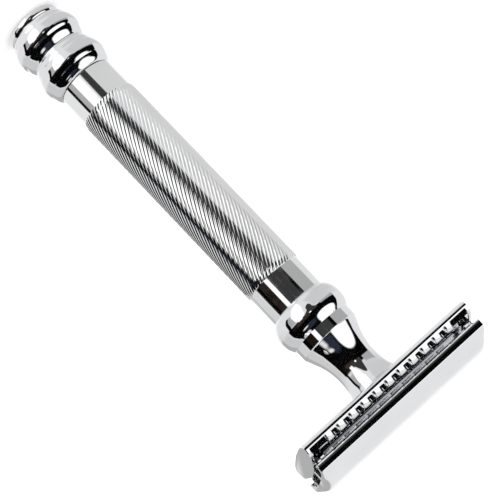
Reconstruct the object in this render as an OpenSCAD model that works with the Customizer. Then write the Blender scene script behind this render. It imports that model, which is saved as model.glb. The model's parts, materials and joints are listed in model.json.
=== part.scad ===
// Twist-to-open safety razor. Millimetres, +Z along the handle towards the head.
// The origin is the middle of the knob's flat end. X runs along the blade, Y across it.

/* [Handle] */
// Radius of the fluted grip
grip_r = 6.67; // [6.5:0.01:7.2]
// Radius of the plain collar next to the knob
rear_collar_r = 6.27; // [6.0:0.01:6.4]
// Radius of the plain collar next to the neck
front_collar_r = 6.33; // [6.0:0.01:6.4]
// Length of the plain collar next to the knob
rear_collar_l = 7.3; // [6:0.1:8]
// Length of the fluted grip
grip_l = 50.9; // [45:0.1:60]
// Length of the plain collar next to the neck
front_collar_l = 7.3; // [6:0.1:8]
// Radius of the bore through the handle tube
tube_bore_r = 5.0; // [4.8:0.05:5.2]

/* [Knob] */
// Length of the twist knob
knob_l = 17.4; // [17:0.1:18]
// Crest radius of the ring nearest the flat end
first_ring_r = 7.77; // [7.5:0.01:8.2]
// Crest radius of the ring nearest the handle
second_ring_r = 7.87; // [7.5:0.01:8.2]
// Waist radius between the two rings
knob_waist_r = 6.4; // [6.2:0.05:6.8]
// Turn of the knob from closed to fully open, degrees
knob_turn = 540; // [360:90:720]

/* [Neck] */
// Crest radius of the bulb
bulb_r = 8.0; // [7.6:0.05:8.4]
// Radius of the plain band above the bulb
band_r = 6.93; // [6.7:0.01:7.2]
// Smallest radius of the waisted cone
waist_r = 4.74; // [4.4:0.02:5.1]
// Length from the front collar to the underside of the head
neck_l = 22.4; // [21.5:0.1:24]

/* [Head] */
// Length of the two doors along the blade
door_l = 43.5; // [43:0.1:45]
// Distance between the two guard lips
guard_w = 24.8; // [24.4:0.1:25.4]
// Height of the head from its underside to the top of the doors
head_h = 9.8; // [9.6:0.1:10.2]
// Number of slots in each guard
guard_slots = 10; // [6:1:11]
// Spacing of the guard slots
slot_pitch = 3.2; // [2.8:0.1:3.3]
// Width of one guard slot
slot_w = 1.3; // [0.8:0.1:1.6]
// Lift of the doors' hinge pins when the knob is turned
lift = 1.7; // [1.2:0.1:1.8]

/* [Hidden] */
$fn = 96;

fit_gap = 0.05;          // radial clearance of every part that turns or slides in another
seat_gap = 0.02;         // clearance of pieces that are seated for good
edge = 0.35;             // chamfer at the ends of the fluted grip

// Stations along the handle
tube_z = knob_l + 0.1;
grip_z = tube_z + rear_collar_l;
front_collar_z = grip_z + grip_l;
neck_z = front_collar_z + front_collar_l;
head_z = neck_z + neck_l - 0.2;

// Knob: the bore that holds the sleeve, the sleeve, the nut and the rod
sleeve_r = 4.0;
sleeve_bore_r = 2.6;
sleeve_top = tube_z + 9.9;
rod_r = 1.5;
shank_r = 1.1;
rod_end_z = 8;
nut_z = 10;
nut_l = 12;
thread_pitch = lift * 360 / knob_turn;
cap_h = 1.7;
cap_spigot_h = 2;
washer_recess = 0.3;
bush_top = tube_z + 6.5;
ring_z = bush_top + 0.9;
ring_h = 0.8;

// Head heights above its underside
tray_floor = 0.8;
arch_top = 5.2;
arch_r = 35;
platform_t = 0.8;
guard_lip_w = 2.9;
slot_floor = 2.5;
end_slot_x = 16.7;
end_slot_l = 4;
platform_half_w = guard_w / 2 - guard_lip_w - seat_gap;
tray_half_l = door_l / 2 - 0.15;
end_wall_t = 0.7;
yoke_gap = 0.1;
yoke_t = 0.9;
yoke_w = 5;
yoke_z = head_z + tray_floor + yoke_gap;
pin_y = 8.7;
pin_z = head_z + 5.1;
pin_r = 0.4;
bracket_x = 20.0;
bracket_t = 0.7;
lug_x = 18.9;
lug_t = 1.0;
lug_r = 0.9;
door_seam = 0.05;
stud_x = 12;
stud_r = 1.1;
post_x = 13;
post_y = 6;
post_r = 1.0;
post_foot = 0.9;

// Height of the arched platform's top above the head's underside, at a distance y from the middle
function arch(y) = arch_top - arch_r + sqrt(arch_r * arch_r - y * y);

// Both sides of an outline that is given for one side only, from the bottom to the top
function both_sides(half) = concat(half, [for (i = [len(half) - 1:-1:0]) [-half[i][0], half[i][1]]]);

// Turns a flat outline of (y, z) points into a bar along X
module along_x(length, points) {
    rotate([90, 0, 90]) linear_extrude(length, center = true) polygon(points);
}

// A body of revolution from (radius, height) points, closed along the axis
module turned(points) {
    rotate_extrude() polygon(concat([[0, points[0][1]]], points, [[0, points[len(points) - 1][1]]]));
}

module ring(outer_r, inner_r, z, h) {
    translate([0, 0, z]) difference() {
        cylinder(r = outer_r, h = h);
        translate([0, 0, -1]) cylinder(r = inner_r, h = h + 2);
    }
}

// ---- Handle ----

module handle_tube() {
    color("silver") difference() {
        turned([
            [rear_collar_r, tube_z],
            [rear_collar_r, grip_z],
            [grip_r - edge, grip_z],
            [grip_r, grip_z + edge],
            [grip_r, front_collar_z - edge],
            [grip_r - edge, front_collar_z],
            [front_collar_r, front_collar_z],
            [front_collar_r, neck_z],
        ]);
        translate([0, 0, tube_z - 1]) cylinder(r = tube_bore_r, h = neck_z - tube_z + 2);
    }
}

// Bush in the end of the handle that the knob's sleeve turns in
module knob_bush() {
    color("goldenrod") ring(tube_bore_r - seat_gap, sleeve_r + fit_gap, tube_z, bush_top - tube_z);
}

// Slip washer between the knob and the end of the handle
module thrust_washer() {
    color("white") ring(5.9, sleeve_r + 0.2, knob_l - washer_recess + 0.02, washer_recess + 0.04);
}

// Coned washer that keeps the knob stiff to turn
module spring_washer() {
    outer = tube_bore_r - 0.15;
    inner = sleeve_r + 0.15;
    t = 0.25;
    z = bush_top + 0.01;
    color("lightsteelblue") rotate_extrude()
        polygon([[inner, z + 0.5], [outer, z], [outer, z + t], [inner, z + 0.5 + t]]);
}

// Plug in the middle of the handle that keeps the long rod straight
module rod_guide() {
    color("goldenrod") ring(tube_bore_r - seat_gap, rod_r + fit_gap, grip_z + grip_l / 2 - 3, 6);
}

module neck() {
    spigot_l = 8;
    spigot_top = head_z + tray_floor;
    z = neck_z;
    flare = neck_l - 22.4;
    color("silver") difference() {
        turned([
            [tube_bore_r - seat_gap, z - spigot_l],
            [tube_bore_r - seat_gap, z],
            [6.5, z],
            [bulb_r - 0.63, z + 1.1],
            [bulb_r - 0.2, z + 2.1],
            [bulb_r - 0.04, z + 3.1],
            [bulb_r, z + 4.0],
            [bulb_r - 0.13, z + 5.1],
            [bulb_r - 0.45, z + 6.0],
            [band_r + 0.1, z + 6.85],
            [band_r, z + 6.95],
            [band_r, z + 9.35],
            [band_r - 0.2, z + 9.5],
            [waist_r + 1.46, z + 10.9],
            [waist_r + 0.78, z + 12.5],
            [waist_r + 0.35, z + 14.1],
            [waist_r + 0.08, z + 15.7],
            [waist_r, z + 17.0],
            [waist_r + 0.05, z + 18.1],
            [waist_r + 0.26, z + 19.7],
            [waist_r + 0.63, z + 21.3],
            [5.9, z + 22.2 + flare],
            [3, z + 22.2 + flare],
            [3, spigot_top],
        ]);
        translate([0, 0, z - spigot_l - 1]) cylinder(r = rod_r + fit_gap, h = neck_l + spigot_l + 4);
    }
}

// ---- Head ----

// Outside of the tray from its underside up to the top of the guard lip
tray_outline = [
    [0, 0],
    [5, 0.15],
    [10, 0.5],
    [guard_w / 2 - 0.3, 1.2],
    [guard_w / 2, 1.8],
    [guard_w / 2 - 0.1, 2.5],
    [guard_w / 2 - 1.1, 3.5],
    [guard_w / 2 - guard_lip_w, arch(guard_w / 2 - guard_lip_w)],
];

module tray_section() {
    inside = [
        [0, tray_floor],
        [yoke_w / 2 + 0.4, tray_floor],
        [8.8, tray_floor + 0.35],
        [guard_w / 2 - guard_lip_w, 2.2],
        [guard_w / 2 - guard_lip_w, 6],
    ];
    difference() {
        polygon(both_sides(tray_outline));
        polygon(both_sides(inside));
    }
}

module end_wall() {
    arch_points = [for (y = [9:-3:0]) [y, arch(y)]];
    rotate([90, 0, 90]) linear_extrude(end_wall_t)
        polygon(both_sides(concat(tray_outline, arch_points)));
}

// One row of slots through the guard lip, and the long opening at each end of it
module guard_slot_row() {
    first = -slot_pitch * (guard_slots - 1) / 2;
    for (i = [0:guard_slots - 1])
        translate([first + i * slot_pitch - slot_w / 2, guard_w / 2 - 1.4, slot_floor])
            cube([slot_w, 3, 3]);
    for (side = [0, 1]) mirror([side, 0, 0])
        translate([end_slot_x, guard_w / 2 - 1.2, slot_floor]) cube([end_slot_l, 3, 0.5]);
}

// Rounded tray under the blade, with a slotted guard lip along each side
module base_tray() {
    color("silver") difference() {
        translate([0, 0, head_z]) {
            rotate([90, 0, 90]) linear_extrude(2 * tray_half_l, center = true) tray_section();
            for (side = [0, 1]) mirror([side, 0, 0])
                translate([tray_half_l - end_wall_t, 0, 0]) end_wall();
        }
        for (side = [0, 1]) mirror([0, side, 0])
            translate([0, 0, head_z]) guard_slot_row();
        translate([0, 0, head_z - 1]) cylinder(r = 3 + seat_gap, h = 4);
    }
}

// Arched plate that bends the blade, with slots at its corners for the hinge brackets
module blade_platform() {
    w = platform_half_w;
    top = [for (y = [-w:w / 8:w]) [y, arch(y)]];
    under = [for (y = [w:-w / 8:-w]) [y, arch(y) - platform_t]];
    half_l = tray_half_l - end_wall_t - seat_gap;
    notch = [2.8, 3.6, 6];
    color("silver") difference() {
        translate([0, 0, head_z]) along_x(2 * half_l, concat(top, under));
        for (x = [-1, 1], y = [-1, 1])
            translate([x * (lug_x + 1.15), y * (pin_y - 0.6), head_z + notch.z / 2])
                cube(notch, center = true);
        for (x = [-stud_x, 0, stud_x])
            translate([x, 0, head_z]) cylinder(r = stud_r + seat_gap, h = 10);
    }
}

// Posts that carry the platform above the tray's floor
module platform_posts() {
    color("silver")
        for (x = [-1, 1], y = [-1, 1])
            translate([x * post_x, y * post_y, head_z + post_foot])
                cylinder(r = post_r, h = arch(post_y) - platform_t - post_foot + 0.05);
}

// Studs on the platform that the blade's middle slot drops over
module blade_studs() {
    color("silver")
        for (x = [-stud_x, 0, stud_x])
            translate([x, 0, head_z + arch_top - platform_t]) cylinder(r = stud_r, h = platform_t + 0.7);
}

// ---- Knob ----

module knob() {
    color("silver") difference() {
        turned([
            [6.15, cap_h + 0.02],
            [6.5, 2.1],
            [7.0, 3.2],
            [7.15, 3.5],
            [first_ring_r - 0.17, 4.4],
            [first_ring_r - 0.03, 5.2],
            [first_ring_r, 5.7],
            [first_ring_r - 0.17, 6.5],
            [first_ring_r - 0.42, 7.0],
            [first_ring_r - 0.68, 7.9],
            [knob_waist_r + 0.4, 8.6],
            [knob_waist_r, 9.2],
            [knob_waist_r + 0.6, 10.5],
            [knob_waist_r + 0.8, 11.3],
            [second_ring_r - 0.22, 12.4],
            [second_ring_r - 0.05, 13.2],
            [second_ring_r, 13.7],
            [second_ring_r - 0.19, 14.6],
            [second_ring_r - 0.47, 15.4],
            [7.0, knob_l - 0.9],
            [6.5, knob_l - 0.2],
            [6.2, knob_l],
        ]);
        cylinder(r = sleeve_r, h = knob_l + 1);
        translate([0, 0, knob_l - washer_recess]) cylinder(r = 6.0, h = 1);
    }
}

// Flat disc that closes the end of the knob
module end_cap() {
    color("silver") turned([
        [5.6, 0],
        [6.05, 0.2],
        [6.25, 0.6],
        [6.3, 1.2],
        [6.1, cap_h],
        [sleeve_r - seat_gap, cap_h],
        [sleeve_r - seat_gap, cap_h + cap_spigot_h],
    ]);
}

// Tube fixed in the knob that turns in the handle's bush
module knob_sleeve() {
    z = cap_h + cap_spigot_h + 0.05;
    color("lightsteelblue") difference() {
        translate([0, 0, z]) cylinder(r = sleeve_r - seat_gap, h = sleeve_top - z);
        cylinder(r = sleeve_bore_r, h = sleeve_top + 1);
        ring(sleeve_r + 1, sleeve_r - 0.4, ring_z, ring_h);
    }
}

// Nut in the sleeve that drives the threaded rod up and down
module drive_nut() {
    color("goldenrod") ring(sleeve_bore_r - seat_gap, rod_r + fit_gap, nut_z, nut_l);
}

// Snap ring that keeps the sleeve in the handle
module retaining_ring() {
    color("dimgray") ring(tube_bore_r - 0.2, sleeve_r - 0.38, ring_z + 0.05, ring_h - 0.1);
}

// ---- Lift ----

// Long rod with a thread at the knob's end and a shank through the yoke at the head's end
module lift_rod() {
    groove = 0.25;
    thread_l = nut_l + 6;
    turns = floor(thread_l / thread_pitch);
    thread_points = [for (i = [0:turns - 1], p = [[rod_r, 0], [rod_r - groove, 0.5]])
        [p[0], rod_end_z + (i + p[1]) * thread_pitch]];
    color("lightsteelblue") turned(concat(thread_points, [
        [rod_r, rod_end_z + turns * thread_pitch],
        [rod_r, yoke_z],
        [shank_r, yoke_z],
        [shank_r, yoke_z + yoke_t],
    ]));
}

// Bar in the tray that the rod pushes up
module yoke_bar() {
    color("lightsteelblue") translate([0, 0, yoke_z]) difference() {
        translate([-bracket_x, -yoke_w / 2, 0]) cube([2 * bracket_x, yoke_w, yoke_t]);
        translate([0, 0, -1]) cylinder(r = shank_r + seat_gap, h = 4);
    }
}

// Headed rivet that clamps the yoke to the rod
module yoke_rivet() {
    color("dimgray") translate([0, 0, yoke_z + yoke_t]) cylinder(r = 1.9, h = 0.4);
}

// Upright plate at each end of the yoke, with a horn to each hinge pin
module hinge_brackets() {
    horn_inner = pin_y - 1.8;
    horn_outer = pin_y - 0.3;
    eye_r = 0.75;
    pin_rel = pin_z - yoke_z;
    half = [
        [0, 0],
        [yoke_w / 2, 0],
        [horn_inner, 0.35],
        [horn_outer, 0.5],
        [horn_outer, pin_rel - eye_r],
        [pin_y + 0.45, pin_rel - 0.6],
        [pin_y + eye_r, pin_rel],
        [pin_y + 0.45, pin_rel + 0.6],
        [pin_y - 0.45, pin_rel + 0.6],
        [horn_inner, pin_rel - 0.3],
        [horn_inner, yoke_t],
        [0, yoke_t],
    ];
    color("lightsteelblue") difference() {
        for (side = [0, 1]) mirror([side, 0, 0])
            translate([bracket_x, 0, yoke_z]) rotate([90, 0, 90])
                linear_extrude(bracket_t) polygon(both_sides(half));
        for (x = [-1, 1], y = [-1, 1])
            translate([x * (bracket_x + bracket_t / 2), y * pin_y, pin_z]) rotate([0, 90, 0])
                cylinder(r = pin_r, h = 2, center = true, $fn = 48);
    }
}

// Short pins in the brackets that the doors swing on
module hinge_pins() {
    l = bracket_x + bracket_t - lug_x;
    color("dimgray")
        for (x = [-1, 1], y = [-1, 1])
            translate([x * (lug_x + l / 2), y * pin_y, pin_z]) rotate([0, 90, 0])
                cylinder(r = pin_r, h = l, center = true, $fn = 48);
}

// ---- Doors ----

// Door on the -Y side, with a clamping rib inside and a hinge lug at each end
module door() {
    top = head_h;
    outline = [
        [door_seam, 7.2],
        [3.4, 7.2],
        [3.5, 5.3],
        [4.3, 5.25],
        [4.5, 7.15],
        [8.4, 6.9],
        [9.4, 6.2],
        [10.0, 5.3],
        [10.4, 5.25],
        [10.62, 5.6],
        [10.55, 6.9],
        [10.3, 7.15],
        [9.3, top - 2.35],
        [6.2, top - 1.4],
        [4.8, top - 0.88],
        [3.4, top - 0.44],
        [1.4, top - 0.06],
        [door_seam, top],
    ];
    difference() {
        union() {
            translate([0, 0, head_z]) mirror([0, 1, 0]) along_x(door_l, outline);
            for (side = [0, 1]) mirror([side, 0, 0])
                translate([lug_x, -pin_y, pin_z]) rotate([0, 90, 0]) {
                    cylinder(r = lug_r, h = lug_t, $fn = 48);
                    translate([-2, -lug_r, 0]) cube([2, 2 * lug_r, lug_t]);
                }
        }
        for (side = [0, 1]) mirror([side, 0, 0])
            translate([lug_x - 0.5, -pin_y, pin_z]) rotate([0, 90, 0])
                cylinder(r = pin_r + fit_gap, h = lug_t + 1, $fn = 48);
    }
}

module front_door() {
    color("silver") door();
}

module rear_door() {
    color("silver") mirror([0, 1, 0]) door();
}

handle_tube();
knob_bush();
thrust_washer();
spring_washer();
rod_guide();
neck();
base_tray();
blade_platform();
platform_posts();
blade_studs();
knob();
end_cap();
knob_sleeve();
drive_nut();
retaining_ring();
lift_rod();
yoke_bar();
yoke_rivet();
hinge_brackets();
hinge_pins();
front_door();
rear_door();
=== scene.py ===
"""Looks of a twist-to-open safety razor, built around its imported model.

The frame is in metres with +Z along the handle, X along the blade and Y across it. The outlines
below are in millimetres, and MM turns them into metres when a mesh is made.
"""
import json
import math

import bmesh
import bpy
from mathutils import Matrix, Vector


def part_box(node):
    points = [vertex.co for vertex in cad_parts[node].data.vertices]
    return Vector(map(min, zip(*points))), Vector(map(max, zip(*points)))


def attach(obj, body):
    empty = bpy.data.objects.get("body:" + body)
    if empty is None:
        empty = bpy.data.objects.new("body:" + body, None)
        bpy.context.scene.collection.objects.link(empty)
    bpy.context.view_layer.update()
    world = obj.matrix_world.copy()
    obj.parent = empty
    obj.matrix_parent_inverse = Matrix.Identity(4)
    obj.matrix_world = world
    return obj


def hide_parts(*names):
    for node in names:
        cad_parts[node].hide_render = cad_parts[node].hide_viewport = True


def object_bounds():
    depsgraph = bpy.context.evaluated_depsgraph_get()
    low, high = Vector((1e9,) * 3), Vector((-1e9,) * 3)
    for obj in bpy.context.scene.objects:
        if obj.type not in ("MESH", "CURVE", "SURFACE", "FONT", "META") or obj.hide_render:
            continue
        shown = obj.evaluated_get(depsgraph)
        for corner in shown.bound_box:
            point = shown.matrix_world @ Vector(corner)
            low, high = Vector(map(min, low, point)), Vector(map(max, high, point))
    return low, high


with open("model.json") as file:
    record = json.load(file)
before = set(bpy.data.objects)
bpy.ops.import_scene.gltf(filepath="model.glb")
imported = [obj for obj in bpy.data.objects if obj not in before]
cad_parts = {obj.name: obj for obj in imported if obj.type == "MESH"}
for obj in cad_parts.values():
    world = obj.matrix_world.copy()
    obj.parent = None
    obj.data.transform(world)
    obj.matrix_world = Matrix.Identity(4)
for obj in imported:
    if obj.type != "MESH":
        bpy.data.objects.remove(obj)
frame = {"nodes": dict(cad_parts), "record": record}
cad_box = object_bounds()

MM = 0.001
WELD = 1e-7


def box_mm(node):
    """Lowest and highest corner of a CAD node, in millimetres."""
    low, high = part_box(node)
    return low / MM, high / MM


# ---- Sizes that come from the frame ----

TUBE_LOW, TUBE_HIGH = box_mm("handle_tube")
KNOB_LOW, KNOB_HIGH = box_mm("knob")
CAP_LOW, CAP_HIGH = box_mm("end_cap")
NECK_LOW, NECK_HIGH = box_mm("neck")
TRAY_LOW, TRAY_HIGH = box_mm("base_tray")
PLATE_HIGH = box_mm("blade_platform")[1]
STUD_LOW, STUD_HIGH = box_mm("blade_studs")
DOOR_HIGH = box_mm("front_door")[1]
PIN_LOW, PIN_HIGH = box_mm("hinge_pins")

GRIP_R = TUBE_HIGH.x
TUBE_Z = TUBE_LOW.z
NECK_Z = TUBE_HIGH.z
HEAD_Z = TRAY_LOW.z
GUARD_Y = TRAY_HIGH.y
TRAY_X = TRAY_HIGH.x
DOOR_X = DOOR_HIGH.x
DOOR_TOP = DOOR_HIGH.z - HEAD_Z
ARCH_TOP = TRAY_HIGH.z - HEAD_Z
SLEEVE_R = box_mm("knob_sleeve")[1].x

# ---- Sizes of the details ----

COLLAR_L = 7.3           # plain collar at each end of the grip
REAR_COLLAR_R = 6.27
FRONT_COLLAR_R = 6.33
BORE_R = 5.0
FLUTES = 49              # spiral flutes round the grip
FLUTE_STEPS = 10         # mesh columns across one flute
FLUTE_DEPTH = 0.2
GROOVE_HALF = 0.3        # half the width of a flute's groove, as a share of the flute
FLUTE_CROWN = 0.004      # height of the rounding on a flute's top
FLUTE_LEAD = 69.7        # length of one whole turn of a flute
FLUTE_FADE = 0.55        # length over which a flute runs out at each end
ARCH_R = 35.0            # radius of the arch that bends the blade
LIP_W = 2.9              # width of each guard lip
END_WALL_T = 0.7
TRAY_FLOOR = 0.8         # height of the tray's floor above the underside
FLOOR_RISE = 0.35        # rise of that floor from beside the yoke to the guard
FLOOR_FLAT = 2.9         # half the width of the floor's flat middle
FLOOR_END = 8.8          # distance from the middle where the floor has risen in full
SLOTS = 10
SLOT_PITCH = 3.2
END_SLOT_START = 16.7    # the long opening at each end of the guard, from the middle
END_SLOT_STOP = 20.7
SLOT_EDGE = 0.09         # half the width over which a slot's side rises
SWEEP_STEP = 0.1         # spacing of the sections along the guard
JUMP = 0.0005            # distance between two sections where a section changes at once
LATHE_STEPS = 224


def arch(y):
    """Height of the blade's bed above the head's underside."""
    return ARCH_TOP - ARCH_R + math.sqrt(ARCH_R * ARCH_R - y * y)


def smoothstep(low, high, value):
    t = min(1.0, max(0.0, (value - low) / (high - low)))
    return t * t * (3 - 2 * t)


def mix(a, b, t):
    return tuple(p + (q - p) * t for p, q in zip(a, b))


def curve(points, steps=8):
    """A smooth line through the points, as a Catmull-Rom spline."""
    ends = [points[0], *points, points[-1]]
    line = []
    for a, b, c, d in zip(ends, ends[1:], ends[2:], ends[3:]):
        for i in range(steps):
            t = i / steps
            line.append(tuple(
                0.5 * (2 * q + (r - p) * t + (2 * p - 5 * q + 4 * r - s) * t ** 2
                       + (3 * q - p - 3 * r + s) * t ** 3)
                for p, q, r, s in zip(a, b, c, d)))
    line.append(tuple(points[-1]))
    return line


def arc(centre, radius, start, end, steps=8):
    """Points on a circle, with the angles in degrees."""
    angles = [math.radians(start + (end - start) * i / steps) for i in range(steps + 1)]
    return [(centre[0] + radius * math.cos(a), centre[1] + radius * math.sin(a)) for a in angles]


# ---- Meshes ----


def add_piece(name, verts, faces, material, body, nodes, slot, crease=32):
    """A closed mesh in the frame, which rides on a body and stands for CAD nodes."""
    mesh = bpy.data.meshes.new(name)
    mesh.from_pydata([Vector(v) * MM for v in verts], [], faces)
    bm = bmesh.new()
    bm.from_mesh(mesh)
    bmesh.ops.remove_doubles(bm, verts=bm.verts, dist=WELD)
    bmesh.ops.recalc_face_normals(bm, faces=bm.faces)
    bm.to_mesh(mesh)
    bm.free()
    mesh.shade_smooth()
    mesh.set_sharp_from_angle(angle=math.radians(crease))
    mesh.materials.append(material)
    piece = bpy.data.objects.new(name, mesh)
    bpy.context.scene.collection.objects.link(piece)
    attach(piece, body)
    if nodes:
        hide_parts(*nodes)
    return piece


def ring_faces(rings, count):
    """Faces between neighbouring rings that have the same number of points."""
    faces = []
    for r in range(rings - 1):
        for i in range(count):
            j = (i + 1) % count
            faces.append((r * count + i, r * count + j, (r + 1) * count + j, (r + 1) * count + i))
    return faces


def turned(outline, centre=(0, 0), steps=LATHE_STEPS):
    """A body of revolution from (radius, height) points. A ring-shaped one ends where it starts."""
    verts = []
    for radius, z in outline:
        for i in range(steps):
            a = 2 * math.pi * i / steps
            verts.append((centre[0] + radius * math.cos(a), centre[1] + radius * math.sin(a), z))
    return verts, ring_faces(len(outline), steps)


def swept(sections):
    """A bar along X from (x, outline of (y, z) points) sections, closed at both ends."""
    count = len(sections[0][1])
    verts = [(x, y, z) for x, outline in sections for y, z in outline]
    faces = ring_faces(len(sections), count)
    last = (len(sections) - 1) * count
    faces.append(tuple(range(count)))
    faces.append(tuple(last + i for i in range(count)))
    return verts, faces


def joined(*parts):
    """Several closed meshes as one."""
    verts, faces = [], []
    for part_verts, part_faces in parts:
        base = len(verts)
        verts += part_verts
        faces += [tuple(base + i for i in face) for face in part_faces]
    return verts, faces


def inset(outline, distance):
    """An outline moved inwards, for the rounded ends of a bar."""
    area = sum(a[0] * b[1] - b[0] * a[1] for a, b in zip(outline, outline[1:] + outline[:1]))
    turn = 1 if area > 0 else -1
    moved = []
    for before, here, after in zip(outline[-1:] + outline[:-1], outline, outline[1:] + outline[:1]):
        along = Vector((after[0] - before[0], after[1] - before[1]))
        if along.length > 0:
            along.normalize()
        moved.append((here[0] - turn * along.y * distance, here[1] + turn * along.x * distance))
    return moved


def rounded_ends(half, radius, steps=4):
    """(x, inset) pairs from one end of a bar to the other, with quarter-round end edges."""
    angles = [math.pi / 2 * i / steps for i in range(steps + 1)]
    right = [(half - radius + radius * math.sin(a), radius * (1 - math.cos(a))) for a in angles]
    return [(-x, e) for x, e in reversed(right)] + right


# ---- Materials ----


def principled(name, colour, metallic, roughness):
    material = bpy.data.materials.new(name)
    material.use_nodes = True
    shader = material.node_tree.nodes["Principled BSDF"]
    shader.inputs["Base Color"].default_value = (*colour, 1)
    shader.inputs["Metallic"].default_value = metallic
    shader.inputs["Roughness"].default_value = roughness
    return material, material.node_tree, shader


def noise_node(tree, scale, detail=3.0, stretch=(1, 1, 1)):
    """Noise on the object's own coordinates, in metres, so it stays put as the camera moves."""
    place = tree.nodes.new("ShaderNodeTexCoord")
    mapping = tree.nodes.new("ShaderNodeMapping")
    mapping.inputs["Scale"].default_value = stretch
    noise = tree.nodes.new("ShaderNodeTexNoise")
    noise.inputs["Scale"].default_value = scale
    noise.inputs["Detail"].default_value = detail
    tree.links.new(place.outputs["Object"], mapping.inputs["Vector"])
    tree.links.new(mapping.outputs["Vector"], noise.inputs["Vector"])
    return noise


def vary(tree, shader, noise, socket, low, high):
    """Lets a noise move one of the shader's numbers between two values."""
    spread = tree.nodes.new("ShaderNodeMapRange")
    spread.inputs["From Min"].default_value = 0.35
    spread.inputs["From Max"].default_value = 0.65
    spread.inputs["To Min"].default_value = low
    spread.inputs["To Max"].default_value = high
    tree.links.new(noise.outputs["Fac"], spread.inputs["Value"])
    tree.links.new(spread.outputs["Result"], shader.inputs[socket])


def tint(tree, shader, noise, dark, light):
    """Lets a noise move the shader's colour between two colours."""
    ramp = tree.nodes.new("ShaderNodeValToRGB")
    ramp.color_ramp.elements[0].position = 0.3
    ramp.color_ramp.elements[0].color = (*dark, 1)
    ramp.color_ramp.elements[1].position = 0.7
    ramp.color_ramp.elements[1].color = (*light, 1)
    tree.links.new(noise.outputs["Fac"], ramp.inputs["Fac"])
    tree.links.new(ramp.outputs["Color"], shader.inputs["Base Color"])


def bump(tree, shader, noise, distance, strength):
    node = tree.nodes.new("ShaderNodeBump")
    node.inputs["Distance"].default_value = distance
    node.inputs["Strength"].default_value = strength
    tree.links.new(noise.outputs["Fac"], node.inputs["Height"])
    tree.links.new(node.outputs["Normal"], shader.inputs["Normal"])


def plating(name, dark, light, smooth, worn):
    """Chrome plate: a mirror with faint handling haze, and a trace of ripple from polishing."""
    material, tree, shader = principled(name, light, 1.0, smooth)
    tint(tree, shader, noise_node(tree, 90), dark, light)
    vary(tree, shader, noise_node(tree, 260, 5.0), "Roughness", smooth, worn)
    bump(tree, shader, noise_node(tree, 420, 1.0), 0.000004, 0.25)
    return material


def drawn_metal(name, dark, light, smooth, worn, stretch):
    """Bare metal with fine marks along the direction that it was drawn or turned in."""
    material, tree, shader = principled(name, light, 1.0, smooth)
    marks = noise_node(tree, 900, 4.0, stretch)
    tint(tree, shader, noise_node(tree, 300), dark, light)
    vary(tree, shader, marks, "Roughness", smooth, worn)
    bump(tree, shader, marks, 0.00001, 0.3)
    return material


def moulded(name, dark, light):
    """Nylon with a faintly grained, waxy surface."""
    material, tree, shader = principled(name, light, 0.0, 0.45)
    tint(tree, shader, noise_node(tree, 500), dark, light)
    vary(tree, shader, noise_node(tree, 1500), "Roughness", 0.38, 0.55)
    bump(tree, shader, noise_node(tree, 4000), 0.00001, 0.4)
    return material


ALONG_X = (0.08, 1, 1)
ALONG_Z = (1, 1, 0.08)
ROUND_Z = (0.3, 0.3, 4)
FINISHES = {
    "polished_chrome": plating("polished_chrome", (0.86, 0.87, 0.89), (0.93, 0.93, 0.94), 0.02, 0.05),
    "fluted_chrome": plating("fluted_chrome", (0.9, 0.91, 0.92), (0.97, 0.97, 0.97), 0.04, 0.09),
    "inner_chrome": plating("inner_chrome", (0.74, 0.75, 0.78), (0.84, 0.85, 0.86), 0.06, 0.14),
    "bright_steel": drawn_metal("bright_steel", (0.52, 0.53, 0.55), (0.68, 0.69, 0.7), 0.2, 0.34, ALONG_Z),
    "dark_steel": drawn_metal("dark_steel", (0.2, 0.2, 0.22), (0.34, 0.34, 0.36), 0.28, 0.42, ALONG_X),
    "turned_brass": drawn_metal("turned_brass", (0.62, 0.42, 0.15), (0.8, 0.6, 0.28), 0.18, 0.3, ROUND_Z),
    "white_nylon": moulded("white_nylon", (0.78, 0.78, 0.75), (0.88, 0.88, 0.86)),
}

# ---- Handle ----


def make_end_cap():
    z = CAP_LOW.z
    edge = curve([(5.6, z), (6.05, z + 0.2), (6.27, z + 0.7), (6.25, z + 1.3), (6.1, z + 1.68)])
    top = CAP_HIGH.z
    outline = [(0, z), *edge, (SLEEVE_R, z + 1.7), (SLEEVE_R, top), (0, top)]
    add_piece("end_cap_turned", *turned(outline), FINISHES["polished_chrome"],
              "twist_knob", ["end_cap"], "polished_chrome")


def make_knob():
    """Two rings with a crease beside each crest, and a waist between them."""
    low, high = KNOB_LOW.z, KNOB_HIGH.z
    crest_a, crest_b = KNOB_HIGH.x - 0.1, KNOB_HIGH.x
    foot = curve([(6.12, low), (6.5, 2.1), (6.77, 2.5), (7.02, 3.2), (7.15, 3.5)])
    ring_a = curve([(7.18, 3.55), (7.4, 3.9), (7.62, 4.6), (crest_a, 5.6), (7.64, 6.5), (7.38, 7.0)])
    waist = curve([(7.33, 7.05), (7.09, 7.9), (6.75, 8.6), (6.4, 9.25), (6.68, 9.9), (7.0, 10.6),
                   (7.2, 11.3)])
    ring_b = curve([(7.24, 11.35), (7.47, 11.9), (7.68, 12.6), (crest_b, 13.7), (7.7, 14.6), (7.45, 15.3)])
    shoulder = curve([(7.4, 15.35), (7.2, 16.0), (6.95, 16.6), (6.55, 17.15), (6.2, high)])
    bore_r = SLEEVE_R + 0.01
    bore = [(6.0, high), (6.0, high - 0.3), (bore_r, high - 0.3), (bore_r, low), (6.12, low)]
    outline = foot + ring_a + waist + ring_b + shoulder + bore
    add_piece("knob_turned", *turned(outline), FINISHES["polished_chrome"],
              "twist_knob", ["knob"], "polished_chrome")


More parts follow.
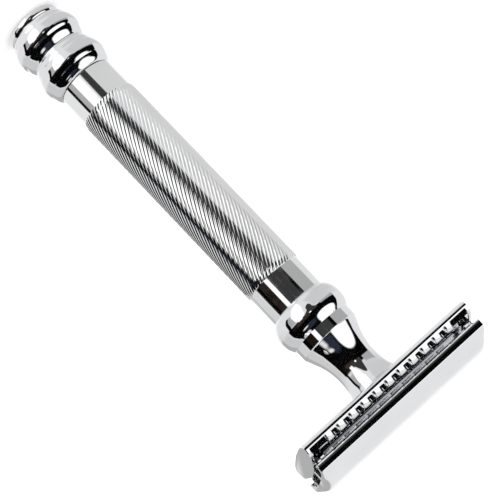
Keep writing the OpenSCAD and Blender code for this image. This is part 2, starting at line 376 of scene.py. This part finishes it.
def flute_drop(place):
    """Depth below the grip's radius at a place from 0 to 1 across a flute, with the groove at 0."""
    from_groove = min(place, 1 - place)
    if from_groove < GROOVE_HALF:
        return FLUTE_DEPTH - (FLUTE_DEPTH - FLUTE_CROWN) * from_groove / GROOVE_HALF
    return FLUTE_CROWN * ((0.5 - from_groove) / (0.5 - GROOVE_HALF)) ** 2


def make_handle():
    """Tube with plain collars and a grip of fine spiral flutes between them."""
    columns = FLUTES * FLUTE_STEPS
    grip_low, grip_high = TUBE_Z + COLLAR_L, NECK_Z - COLLAR_L
    turn = round((grip_high - grip_low) / FLUTE_LEAD * columns)
    rear = [(BORE_R, TUBE_Z), (REAR_COLLAR_R - 0.12, TUBE_Z), (REAR_COLLAR_R, TUBE_Z + 0.12),
            (REAR_COLLAR_R, grip_low - 0.02), (GRIP_R - 0.28, grip_low)]
    front = [(GRIP_R - 0.28, grip_high), (FRONT_COLLAR_R, grip_high + 0.02),
             (FRONT_COLLAR_R, NECK_Z - 0.12), (FRONT_COLLAR_R - 0.12, NECK_Z), (BORE_R, NECK_Z),
             (BORE_R, TUBE_Z)]
    verts = []

    def add_ring(radius, z, shift, share):
        for i in range(columns):
            r = radius - share * flute_drop((i % FLUTE_STEPS) / FLUTE_STEPS)
            a = 2 * math.pi * (i + shift) / columns
            verts.append((r * math.cos(a), r * math.sin(a), z))

    for radius, z in rear:
        add_ring(radius, z, 0, 0)
    rows = 76
    for k in range(rows + 1):
        along = k / rows
        z = grip_low + 0.06 + (grip_high - grip_low - 0.12) * along
        from_end = min(z - grip_low, grip_high - z)
        cut = smoothstep(0.1, FLUTE_FADE, from_end)
        rim = 0.16 * (1 - smoothstep(0.0, 0.3, from_end))
        add_ring(GRIP_R - rim, z, turn * along, cut)
    for radius, z in front:
        add_ring(radius, z, turn, 0)
    faces = ring_faces(len(verts) // columns, columns)
    add_piece("handle_fluted", verts, faces, FINISHES["fluted_chrome"],
              "handle", ["handle_tube"], "fluted_chrome", crease=25)


def make_neck():
    """Bulb, plain band and waisted cone, with a spigot into the handle and one into the head."""
    z = NECK_Z
    bulb_r = NECK_HIGH.x
    spigot_r = BORE_R - 0.02
    bulb = curve([(6.45, z + 0.02), (7.0, z + 0.5), (7.4, z + 1.1), (7.78, z + 2.0), (bulb_r - 0.06, z + 3.0),
                  (bulb_r, z + 4.0), (bulb_r - 0.15, z + 5.2), (7.5, z + 6.1), (7.05, z + 6.85)])
    band = [(6.93, z + 6.9), (6.93, z + 9.3), (6.85, z + 9.42)]
    cone = curve([(6.78, z + 9.5), (6.2, z + 10.9), (5.54, z + 12.5), (5.08, z + 14.1), (4.82, z + 15.7),
                  (4.74, z + 17.1), (4.86, z + 18.9), (5.15, z + 20.5), (5.8, z + 22.15)])
    rod_bore = 1.55
    outline = [(rod_bore, NECK_LOW.z), (spigot_r, NECK_LOW.z), (spigot_r, z), *bulb, *band, *cone,
               (3, z + 22.2), (3, NECK_HIGH.z), (rod_bore, NECK_HIGH.z), (rod_bore, NECK_LOW.z)]
    add_piece("neck_turned", *turned(outline), FINISHES["polished_chrome"],
              "handle", ["neck"], "polished_chrome")


# ---- Head ----

# The guard lip between two slots, in a slot, and in the long opening at each end, point by point
PAD = [(12.1, 2.5), (11.9, 2.85), (11.65, 3.15), (11.35, 3.4), (10.95, 3.62), (10.5, 3.8), (10.0, 3.9)]
SLOT = [(12.05, 2.2), (11.95, 1.9), (11.2, 1.85), (11.1, 2.0), (11.04, 2.7), (11.0, 3.4), (10.4, 3.72)]
END_SLOT = [(12.05, 2.22), (11.3, 2.15), (11.2, 3.0), (11.7, 3.1), (11.68, 3.36), (11.0, 3.45), (10.2, 3.6)]
SLOT_HALF = [0.88, 0.86, 0.8, 0.72, 0.58, 0.4, 0.25]


def guard_lip(x):
    """The lip's points at a distance x along the blade, from the rim inwards."""
    nearest = min(abs(x - (i - (SLOTS - 1) / 2) * SLOT_PITCH) for i in range(SLOTS))
    at_end = smoothstep(END_SLOT_START - 0.15, END_SLOT_START + 0.05, abs(x))
    at_end *= 1 - smoothstep(END_SLOT_STOP, END_SLOT_STOP + 0.15, abs(x))
    line = []
    for pad, slot, end, half in zip(PAD, SLOT, END_SLOT, SLOT_HALF):
        in_slot = 1 - smoothstep(half - SLOT_EDGE, half + SLOT_EDGE, nearest)
        crown = 0.1 * (1 - min(1.0, abs(nearest - SLOT_PITCH / 2) / (SLOT_PITCH / 2)))
        raised = (pad[0], pad[1] + crown)
        line.append(mix(mix(raised, slot, in_slot), end, at_end))
    return line


def tray_outline(x):
    """Closed section of the tray: rounded underside, two guard lips, and the inside or end wall."""
    inner_y = GUARD_Y - LIP_W
    underside = curve([(0, 0), (5, 0.15), (9, 0.38), (11.2, 0.75), (12.05, 1.1)], 4)
    side = [(GUARD_Y - 0.1, 1.28), (GUARD_Y, 1.45), (GUARD_Y - 0.003, 1.6), (GUARD_Y - 0.01, 1.95),
            (GUARD_Y - 0.06, 2.1), (GUARD_Y - 0.2, 2.22)]
    walled = abs(x) > TRAY_X - END_WALL_T
    inside = []
    for y in (inner_y, inner_y - 0.02, FLOOR_END, 7.5, 6, 4.5, FLOOR_FLAT, 1.5, 0):
        floor = TRAY_FLOOR + FLOOR_RISE * max(0.0, y - FLOOR_FLAT) / (FLOOR_END - FLOOR_FLAT)
        inside.append((y, arch(y) if walled or y == inner_y else floor))
    half = underside + side + guard_lip(x) + inside
    return half + [(-y, z) for y, z in reversed(half[1:-1])]


def make_tray():
    wall_x = TRAY_X - END_WALL_T
    edge_r = 0.2
    straight = TRAY_X - edge_r
    steps = round(2 * straight / SWEEP_STEP)
    stations = [(-straight + 2 * straight * i / steps, 0) for i in range(1, steps)]
    edges = rounded_ends(TRAY_X, edge_r)
    half = len(edges) // 2
    for side in (-1, 1):
        stations += [(side * (wall_x - JUMP), 0), (side * (wall_x + JUMP), 0)]
    stations = edges[:half] + sorted(stations) + edges[half:]
    sections = []
    for x, amount in stations:
        outline = inset(tray_outline(x), amount)
        sections.append((x, [(y, HEAD_Z + z) for y, z in outline]))
    add_piece("base_tray_guards", *swept(sections), FINISHES["polished_chrome"],
              "handle", ["base_tray"], "polished_chrome", crease=38)


def make_platform():
    """Arched plate under the blade, narrowed at its ends for the hinge brackets."""
    wide, narrow = PLATE_HIGH.y, 6.3
    half = PLATE_HIGH.x
    shoulder = 18.65
    thick = 0.8

    def outline(w, shrink):
        ys = [w * (1 - i / 16) for i in range(33)]
        top = [(y * (1 - shrink / w), HEAD_Z + arch(y) - shrink) for y in ys]
        under = [(y * (1 - shrink / w), HEAD_Z + arch(y) - thick + shrink) for y in reversed(ys)]
        return top + under

    edges = rounded_ends(half, 0.12, 3)
    middle = len(edges) // 2
    steps = [(x, wide if abs(x) < shoulder else narrow)
             for x in (-shoulder - JUMP, -shoulder + JUMP, shoulder - JUMP, shoulder + JUMP)]
    sections = [(x, outline(narrow, e)) for x, e in edges[:middle]]
    sections += [(x, outline(w, 0)) for x, w in steps]
    sections += [(x, outline(narrow, e)) for x, e in edges[middle:]]
    add_piece("platform_arched", *swept(sections), FINISHES["inner_chrome"],
              "handle", ["blade_platform"], "inner_chrome")


def make_studs():
    """Three pins with domed heads that the blade's slot drops over."""
    low, high = STUD_LOW.z, STUD_HIGH.z
    radius = STUD_HIGH.y
    outer = STUD_HIGH.x - radius
    dome = arc((radius - 0.35, high - 0.35), 0.35, 0, 90)
    outline = [(0, low), (radius, low), *dome, (0, high)]
    pins = [turned(outline, (x, 0), 48) for x in (-outer, 0, outer)]
    add_piece("stud_pins", *joined(*pins), FINISHES["inner_chrome"],
              "handle", ["blade_studs"], "inner_chrome")


# ---- Doors ----


def door_outline():
    """Section of the front door as (distance from the middle, height above the head's underside)."""
    seam = -DOOR_HIGH.y
    rib = [(3.4, 7.2), (3.5, 5.32), *arc((3.9, 5.42), 0.16, 200, 340, 4), (4.3, 5.32), (4.5, 7.12)]
    under = curve([(4.6, 7.12), (6.5, 7.05), (8.4, 6.85), (9.3, 6.2), (9.85, 5.5)], 5)
    lip = arc((10.17, 5.7), 0.45, 210, 358, 12)
    corner = arc((10.27, 6.85), 0.24, 8, 70, 7)
    face = curve([(10.3, 7.12), (9.3, 7.44), (7.8, 7.93), (6.2, 8.4), (4.8, 8.9), (3.4, 9.34),
                  (1.7, 9.68), (seam, DOOR_TOP)], 5)
    return [(seam, 7.2)] + rib + under + lip + corner + face[1:]


def door_sections(side):
    """The door's section along X, with rounded end edges and softened top corners."""
    section = door_outline()
    corner_r = 1.6
    corner_drop = 0.55 * corner_r
    flat = [(-DOOR_X + 1.4 + (2 * DOOR_X - 2.8) * i / 12, 0) for i in range(13)]
    soft = [DOOR_X - corner_r + corner_r * i / 8 for i in range(7)]
    edges = rounded_ends(DOOR_X, 0.12)
    half = len(edges) // 2
    stations = edges[:half] + [(-x, 0) for x in reversed(soft)] + flat + [(x, 0) for x in soft] + edges[half:]
    sections = []
    for x, amount in sorted(stations, key=lambda s: s[0]):
        past = min(1.0, max(0.0, (abs(x) - (DOOR_X - corner_r)) / corner_r))
        drop = corner_drop * (1 - math.sqrt(1 - past * past))
        ring = []
        for y, z in inset(section, amount):
            lowered = z - drop * smoothstep(7.3, DOOR_TOP, z)
            ring.append((side * y, HEAD_Z + lowered))
        sections.append((x, ring))
    return sections


def door_lugs(side):
    """An eye at each end that the hinge pin passes through."""
    pin_y = PIN_HIGH.y - 0.4
    pin_z = (PIN_LOW.z + PIN_HIGH.z) / 2
    x0, thick, eye_r, hole_r = 18.9, 1.0, 0.9, 0.45
    root = 2.05
    steps = 40
    rings = []
    for x, trim in ((x0, 0.08), (x0 + 0.08, 0), (x0 + thick - 0.08, 0), (x0 + thick, 0.08)):
        outer, hole = [], []
        for i in range(steps):
            a = 2 * math.pi * i / steps
            reach = eye_r - trim
            y, z = reach * math.cos(a), reach * math.sin(a)
            if z > 0:
                y = math.copysign(min(reach, abs(y) * 1.25), y)
                z = z * root / eye_r
            outer.append((x, side * pin_y + y, pin_z + z))
            hole.append((x, side * pin_y + hole_r * math.cos(a), pin_z + hole_r * math.sin(a)))
        rings.append((outer, hole))
    loop = [r[0] for r in rings] + [r[1] for r in reversed(rings)]
    loop.append(loop[0])
    verts = [p for ring in loop for p in ring]
    faces = ring_faces(len(loop), steps)
    other = [(-x, y, z) for x, y, z in verts]
    return joined((verts, faces), (other, faces))


def make_door(name, body, side):
    chrome = FINISHES["polished_chrome"]
    add_piece(name + "_shell", *swept(door_sections(side)), chrome, body, [name], "polished_chrome",
              crease=28)
    add_piece(name + "_lugs", *door_lugs(side), FINISHES["inner_chrome"], body, [], "inner_chrome")


# ---- Inner pieces that keep their CAD shape ----


def finish_cad_nodes():
    slots = {s["node"]: s["material_slot"] for s in frame["record"]["subparts"]}
    for name, node in frame["nodes"].items():
        if not node.hide_render:
            node.data.materials.clear()
            node.data.materials.append(FINISHES[slots[name]])


# ---- Stage ----


def make_floor():
    size = 20.0
    mesh = bpy.data.meshes.new("floor")
    corners = [(-size, -size, 0), (size, -size, 0), (size, size, 0), (-size, size, 0)]
    mesh.from_pydata(corners, [], [(0, 1, 2, 3)])
    floor = bpy.data.objects.new("floor", mesh)
    floor.location.z = cad_box[0].z
    material, _, shader = principled("floor_paint", (0.93, 0.93, 0.93), 0.0, 1.0)
    shader.inputs["Specular IOR Level"].default_value = 0.0
    mesh.materials.append(material)
    floor.visible_glossy = False
    bpy.context.scene.collection.objects.link(floor)


def tone(brightness, tint_by=(1, 1, 1)):
    """Light that a mirror shows at this display brightness, from 0 to 1."""
    linear = brightness ** 2.2 / 0.92
    return tuple(linear * t for t in tint_by)


# Cards and lamps around the object: shape, azimuths from -Y towards +X, elevations, softness of the
# edge, light. A wedge has two pairs of azimuths, for its lower and its upper edge, and an oval fills
# the box that its row gives. Later rows cover earlier ones.
STUDIO = [
    ("card", (100, 181), (-12, 60), 10.0, tone(0.78)),
    ("card", (143, 176), (-12, 60), 5.0, tone(0.67)),
    ("card", (-181, -145), (-12, 30), 6.0, tone(0.95)),
    ("card", (-181, -115), (27, 91), 8.0, tone(0.89)),
    ("card", (155, 181), (-91, -12), 4.0, tone(0.95)),
    ("card", (-181, -168), (-91, -12), 4.0, tone(0.95)),
    ("card", (-132, -15), (-60, -13), 9.0, tone(0.79)),
    ("card", (-92, 97), (-12, 62), 1.2, tone(0.045)),
    ("card", (-94, -37), (-15, -6), 1.2, tone(0.65)),
    ("oval", (-82, -4), (12, 66), 2.5, tone(1.04)),
    ("card", (-24, 26), (-12, -4), 2.5, tone(0.25)),
    ("card", (46, 80), (-12, 2), 2.0, tone(0.11, (1.5, 0.85, 0.65))),
    ("card", (8, 60), (-6, 2), 2.5, tone(0.2, (1.25, 0.9, 0.75))),
    ("oval", (4, 52), (24, 50), 4.0, tone(0.19, (0.75, 0.92, 1.45))),
    ("oval", (38, 60), (29, 36), 2.0, tone(0.9)),
    ("oval", (50, 72), (48, 58), 2.0, tone(0.9)),
    ("wedge", ((-9, -4), (-24, 29)), (-28, -9), 1.5, tone(0.22)),
    ("card", (48, 80), (-45, -15), 2.5, tone(0.66)),
    ("oval", (12, 64), (-80, -12), 2.0, tone(1.04)),
    ("card", (31, 48), (-19, -7.5), 1.5, tone(1.04)),
    ("card", (79, 92), (-44, -9), 1.5, tone(0.04)),
    ("oval", (-1, 7), (-7.8, -3.4), 0.7, tone(1.1)),
]
OVAL_POWER = 2.4         # 2 is an ellipse, and more is closer to a box


class World:
    """Small helpers that wire a world's nodes."""

    def __init__(self, tree):
        self.tree = tree

    def math(self, operation, a, b=None):
        node = self.tree.nodes.new("ShaderNodeMath")
        node.operation = operation
        for socket, value in zip(node.inputs, (a, b)):
            if isinstance(value, (int, float)):
                socket.default_value = value
            elif value is not None:
                self.tree.links.new(value, socket)
        return node.outputs[0]

    def step(self, value, edge, soft):
        """0 below an edge and 1 above it, with a soft change between."""
        shifted = self.math("SUBTRACT", value, edge)
        node = self.tree.nodes.new("ShaderNodeMapRange")
        node.interpolation_type = "SMOOTHSTEP"
        node.inputs["From Min"].default_value = -soft
        node.inputs["From Max"].default_value = soft
        self.tree.links.new(shifted, node.inputs["Value"])
        return node.outputs["Result"]

    def inside(self, value, low, high, soft):
        above = self.step(value, low, soft)
        below = self.math("SUBTRACT", 1.0, self.step(value, high, soft))
        return self.math("MULTIPLY", above, below)

    def offset(self, value, low, high):
        """Distance from the middle of two edges as a share of half their spacing, to the oval's power."""
        centre, half = (low + high) / 2, (high - low) / 2
        share = self.math("DIVIDE", self.math("SUBTRACT", value, centre), half)
        return self.math("POWER", self.math("ABSOLUTE", share), OVAL_POWER)

    def oval(self, azimuth, elevation, widths, heights, soft):
        total = self.math("ADD", self.offset(azimuth, *widths), self.offset(elevation, *heights))
        reach = self.math("POWER", total, 1 / OVAL_POWER)
        return self.math("SUBTRACT", 1.0, self.step(reach, 1.0, 2 * soft / (heights[1] - heights[0])))

    def wedge(self, elevation, lower, upper, heights):
        """Left and right edge of a wedge at an elevation."""
        share = self.math("DIVIDE", self.math("SUBTRACT", elevation, heights[0]), heights[1] - heights[0])
        return [self.math("ADD", self.math("MULTIPLY", share, b - a), a) for a, b in zip(lower, upper)]

    def mix(self, factor, a, b):
        node = self.tree.nodes.new("ShaderNodeMix")
        node.data_type = "RGBA"
        colour_a, colour_b = [s for s in node.inputs if s.type == "RGBA"]
        for socket, value in ((colour_a, a), (colour_b, b)):
            if isinstance(value, tuple):
                socket.default_value = (*value, 1)
            else:
                self.tree.links.new(value, socket)
        self.tree.links.new(factor, node.inputs["Factor"])
        return [s for s in node.outputs if s.type == "RGBA"][0]


def make_light():
    """A white studio whose cards and lamps show only in the chrome's reflections."""
    world = bpy.data.worlds.new("studio")
    bpy.context.scene.world = world
    world.use_nodes = True
    tree = world.node_tree
    w = World(tree)
    place = tree.nodes.new("ShaderNodeTexCoord")
    split = tree.nodes.new("ShaderNodeSeparateXYZ")
    tree.links.new(place.outputs["Generated"], split.inputs["Vector"])
    degrees = 180 / math.pi
    azimuth = w.math("MULTIPLY", w.math("ARCTAN2", split.outputs["X"],
                                        w.math("MULTIPLY", split.outputs["Y"], -1.0)), degrees)
    elevation = w.math("MULTIPLY", w.math("ARCSINE", split.outputs["Z"]), degrees)
    colour = tone(0.88)
    for shape, widths, heights, soft, light in STUDIO:
        if shape == "oval":
            mask = w.oval(azimuth, elevation, widths, heights, soft)
        else:
            sides = w.wedge(elevation, *widths, heights) if shape == "wedge" else widths
            mask = w.math("MULTIPLY", w.inside(azimuth, *sides, soft),
                          w.inside(elevation, *heights, soft))
        colour = w.mix(mask, colour, light)
    path = tree.nodes.new("ShaderNodeLightPath")
    seen = w.mix(path.outputs["Is Glossy Ray"], (1.6, 1.6, 1.6), colour)
    background = tree.nodes["Background"]
    tree.links.new(seen, background.inputs["Color"])
    bpy.context.scene.view_settings.view_transform = "Standard"


def make_camera():
    azimuth, elevation, roll = math.radians(12.79), math.radians(12.12), math.radians(136.32)
    distance = 373.5
    look_at = Vector((-0.49, -0.11, 67.87))
    back = Vector((math.sin(azimuth) * math.cos(elevation),
                   -math.cos(azimuth) * math.cos(elevation), math.sin(elevation)))
    level = Vector((math.cos(azimuth), math.sin(azimuth), 0))
    upright = back.cross(level)
    right = level * math.cos(roll) + upright * math.sin(roll)
    up = back.cross(right)
    data = bpy.data.cameras.new("camera")
    data.lens = 131.9
    data.sensor_width = 36
    data.clip_start = 0.01
    data.clip_end = 100
    camera = bpy.data.objects.new("camera", data)
    turn = Matrix((right, up, back)).transposed().to_4x4()
    camera.matrix_world = Matrix.Translation((look_at + back * distance) * MM) @ turn
    bpy.context.scene.collection.objects.link(camera)
    bpy.context.scene.camera = camera


make_camera()
make_light()
make_floor()
make_end_cap()
make_knob()
make_handle()
make_neck()
make_tray()
make_platform()
make_studs()
make_door("front_door", "door_front", -1)
make_door("rear_door", "door_rear", 1)
finish_cad_nodes()
